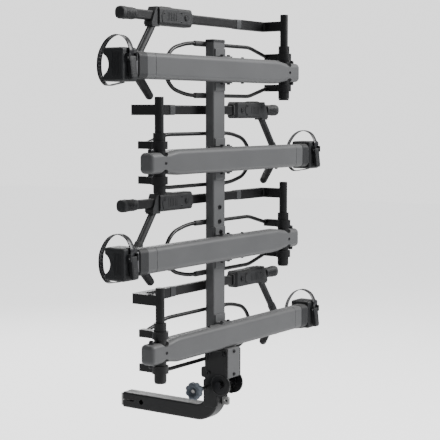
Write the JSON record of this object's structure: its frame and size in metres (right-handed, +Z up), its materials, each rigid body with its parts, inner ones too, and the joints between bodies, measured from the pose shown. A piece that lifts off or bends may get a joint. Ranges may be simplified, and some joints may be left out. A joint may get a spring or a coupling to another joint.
{
  "type": "hitch mounted bike rack",
  "caption": "Folding hitch mounted bike rack, stowed upright: beam trays on a spine, each with a wire wheel hoop, a swinging arm with a sliding hook, and a strapped cradle on a sliding tube.",
  "frame": {"origin": "centre of the hitch pin's bore in the tongue", "axes": "+X to the vehicle's right, +Y towards the vehicle, +Z up"},
  "size_m": [1.056, 0.4505, 1.2794],
  "materials": {
    "black_steel": "satin black powder coat on steel",
    "grey_steel": "satin grey powder coat on steel",
    "zinc_steel": "zinc plated",
    "screw_steel": "blackened fasteners",
    "grey_alu": "satin grey powder coat on aluminium",
    "grey_alu_inner": "bead blasted, sliding fit",
    "black_alu": "satin black powder coat on aluminium",
    "dark_plastic": "fine moulded grain",
    "black_plastic": "fine moulded grain",
    "knob_plastic": "fine moulded grain",
    "button_plastic": "smooth",
    "hook_rubber": "soft coat over a metal core",
    "strap_rubber": "ribbed"
  },
  "bodies": {
    "hitch": {"tongue": "black_steel", "pivot_ears": "black_steel"},
    "knob": {"tightening_knob": "knob_plastic"},
    "wedge": {"expander_wedge": "zinc_steel", "draw_rod": "zinc_steel"},
    "rack": {"spine_main": "grey_steel", "spine_extension": "grey_steel", "spine_joiner": "zinc_steel", "pivot_cheeks": "black_steel", "latch_housing": "grey_steel", "pivot_bolt": "zinc_steel", "plastic_caps": "dark_plastic", "screws": "screw_steel", "hinge_sleeves": "black_alu", "beam_1": "grey_alu", "wheel_hoop_1": "black_alu", "beam_2": "grey_alu", "wheel_hoop_2": "black_alu", "beam_3": "grey_alu", "wheel_hoop_3": "black_alu", "beam_4": "grey_alu", "wheel_hoop_4": "black_alu"},
    "lever": {"tilt_lever": "black_steel"},
    "latch": {"latch_pin": "zinc_steel"},
    "arm_body_1": {"arm_1": "black_alu", "grip_1": "dark_plastic"},
    "head_body_1": {"ratchet_head_1": "dark_plastic", "hook_1": "hook_rubber"},
    "button_body_1": {"release_button_1": "button_plastic"},
    "slider_1": {"ext_tube_1": "grey_alu_inner", "cradle_1": "black_plastic", "strap_1": "strap_rubber"},
    "buckle_body_1": {"buckle_1": "black_plastic"},
    "arm_body_2": {"arm_2": "black_alu", "grip_2": "dark_plastic"},
    "head_body_2": {"ratchet_head_2": "dark_plastic", "hook_2": "hook_rubber"},
    "button_body_2": {"release_button_2": "button_plastic"},
    "slider_2": {"ext_tube_2": "grey_alu_inner", "cradle_2": "black_plastic", "strap_2": "strap_rubber"},
    "buckle_body_2": {"buckle_2": "black_plastic"},
    "arm_body_3": {"arm_3": "black_alu", "grip_3": "dark_plastic"},
    "head_body_3": {"ratchet_head_3": "dark_plastic", "hook_3": "hook_rubber"},
    "button_body_3": {"release_button_3": "button_plastic"},
    "slider_3": {"ext_tube_3": "grey_alu_inner", "cradle_3": "black_plastic", "strap_3": "strap_rubber"},
    "buckle_body_3": {"buckle_3": "black_plastic"},
    "arm_body_4": {"arm_4": "black_alu", "grip_4": "dark_plastic"},
    "head_body_4": {"ratchet_head_4": "dark_plastic", "hook_4": "hook_rubber"},
    "button_body_4": {"release_button_4": "button_plastic"},
    "slider_4": {"ext_tube_4": "grey_alu_inner", "cradle_4": "black_plastic", "strap_4": "strap_rubber"},
    "buckle_body_4": {"buckle_4": "black_plastic"}
  },
  "joints": [
    {"name": "rack_fold", "type": "hinge", "parent": "hitch", "child": "rack", "pos_m": [0, -0.318, 0.1], "axis": [1, 0, 0], "range_deg": [0, 115]},
    {"name": "knob_turn", "type": "hinge", "parent": "hitch", "child": "knob", "pos_m": [-0.078, -0.26, 0.084], "axis": [1, 0, 0], "range_deg": [0, 720]},
    {"name": "wedge_draw", "type": "slide", "parent": "hitch", "child": "wedge", "axis": [0, -1, 0], "range_m": [0, 0.006]},
    {"name": "tilt_lever_pull", "type": "hinge", "parent": "rack", "child": "lever", "pos_m": [0.052, -0.31279, 0.118], "axis": [0, -1, 0], "range_deg": [0, 9.6], "stiffness_Nm_per_rad": 4},
    {"name": "latch_pull", "type": "slide", "parent": "rack", "child": "latch", "axis": [1, 0, 0], "range_m": [0, 0.0081]},
    {"name": "arm_1_swing", "type": "hinge", "parent": "rack", "child": "arm_body_1", "pos_m": [-0.335, -0.316, 0.401], "axis": [0, 0, 1], "range_deg": [0, 120]},
    {"name": "head_1_slide", "type": "slide", "parent": "arm_body_1", "child": "head_body_1", "axis": [-1, 0, 0], "range_m": [0, 0.304]},
    {"name": "button_1_press", "type": "slide", "parent": "head_body_1", "child": "button_body_1", "axis": [0, 1, 0], "range_m": [0, 0.003], "stiffness_N_per_m": 600},
    {"name": "cradle_1_extend", "type": "slide", "parent": "rack", "child": "slider_1", "axis": [1, 0, 0], "range_m": [0, 0.52]},
    {"name": "buckle_1_open", "type": "hinge", "parent": "slider_1", "child": "buckle_body_1", "pos_m": [0.495, -0.347, 0.269], "axis": [-1, 0, 0], "range_deg": [0, 90]},
    {"name": "arm_2_swing", "type": "hinge", "parent": "rack", "child": "arm_body_2", "pos_m": [0.335, -0.316, 0.673], "axis": [0, 0, -1], "range_deg": [0, 120]},
    {"name": "head_2_slide", "type": "slide", "parent": "arm_body_2", "child": "head_body_2", "axis": [1, 0, 0], "range_m": [-0.065, 0.24]},
    {"name": "button_2_press", "type": "slide", "parent": "head_body_2", "child": "button_body_2", "axis": [0, 1, 0], "range_m": [0, 0.003], "stiffness_N_per_m": 600},
    {"name": "cradle_2_extend", "type": "slide", "parent": "rack", "child": "slider_2", "axis": [-1, 0, 0], "range_m": [0, 0.52]},
    {"name": "buckle_2_open", "type": "hinge", "parent": "slider_2", "child": "buckle_body_2", "pos_m": [-0.495, -0.347, 0.541], "axis": [-1, 0, 0], "range_deg": [0, 90]},
    {"name": "arm_3_swing", "type": "hinge", "parent": "rack", "child": "arm_body_3", "pos_m": [-0.335, -0.316, 0.945], "axis": [0, 0, 1], "range_deg": [0, 120]},
    {"name": "head_3_slide", "type": "slide", "parent": "arm_body_3", "child": "head_body_3", "axis": [-1, 0, 0], "range_m": [0, 0.304]},
    {"name": "button_3_press", "type": "slide", "parent": "head_body_3", "child": "button_body_3", "axis": [0, 1, 0], "range_m": [0, 0.003], "stiffness_N_per_m": 600},
    {"name": "cradle_3_extend", "type": "slide", "parent": "rack", "child": "slider_3", "axis": [1, 0, 0], "range_m": [0, 0.52]},
    {"name": "buckle_3_open", "type": "hinge", "parent": "slider_3", "child": "buckle_body_3", "pos_m": [0.495, -0.347, 0.813], "axis": [-1, 0, 0], "range_deg": [0, 90]},
    {"name": "arm_4_swing", "type": "hinge", "parent": "rack", "child": "arm_body_4", "pos_m": [0.335, -0.316, 1.217], "axis": [0, 0, -1], "range_deg": [0, 120]},
    {"name": "head_4_slide", "type": "slide", "parent": "arm_body_4", "child": "head_body_4", "axis": [1, 0, 0], "range_m": [-0.065, 0.24]},
    {"name": "button_4_press", "type": "slide", "parent": "head_body_4", "child": "button_body_4", "axis": [0, 1, 0], "range_m": [0, 0.003], "stiffness_N_per_m": 600},
    {"name": "cradle_4_extend", "type": "slide", "parent": "rack", "child": "slider_4", "axis": [-1, 0, 0], "range_m": [0, 0.52]},
    {"name": "buckle_4_open", "type": "hinge", "parent": "slider_4", "child": "buckle_body_4", "pos_m": [-0.495, -0.347, 1.085], "axis": [-1, 0, 0], "range_deg": [0, 90]}
  ],
  "couplings": [
    {"joint": "knob_turn", "follows": "wedge_draw", "rad_per_m": 2094},
    {"joint": "latch_pull", "follows": "tilt_lever_pull", "m_per_rad": 0.04715}
  ]
}
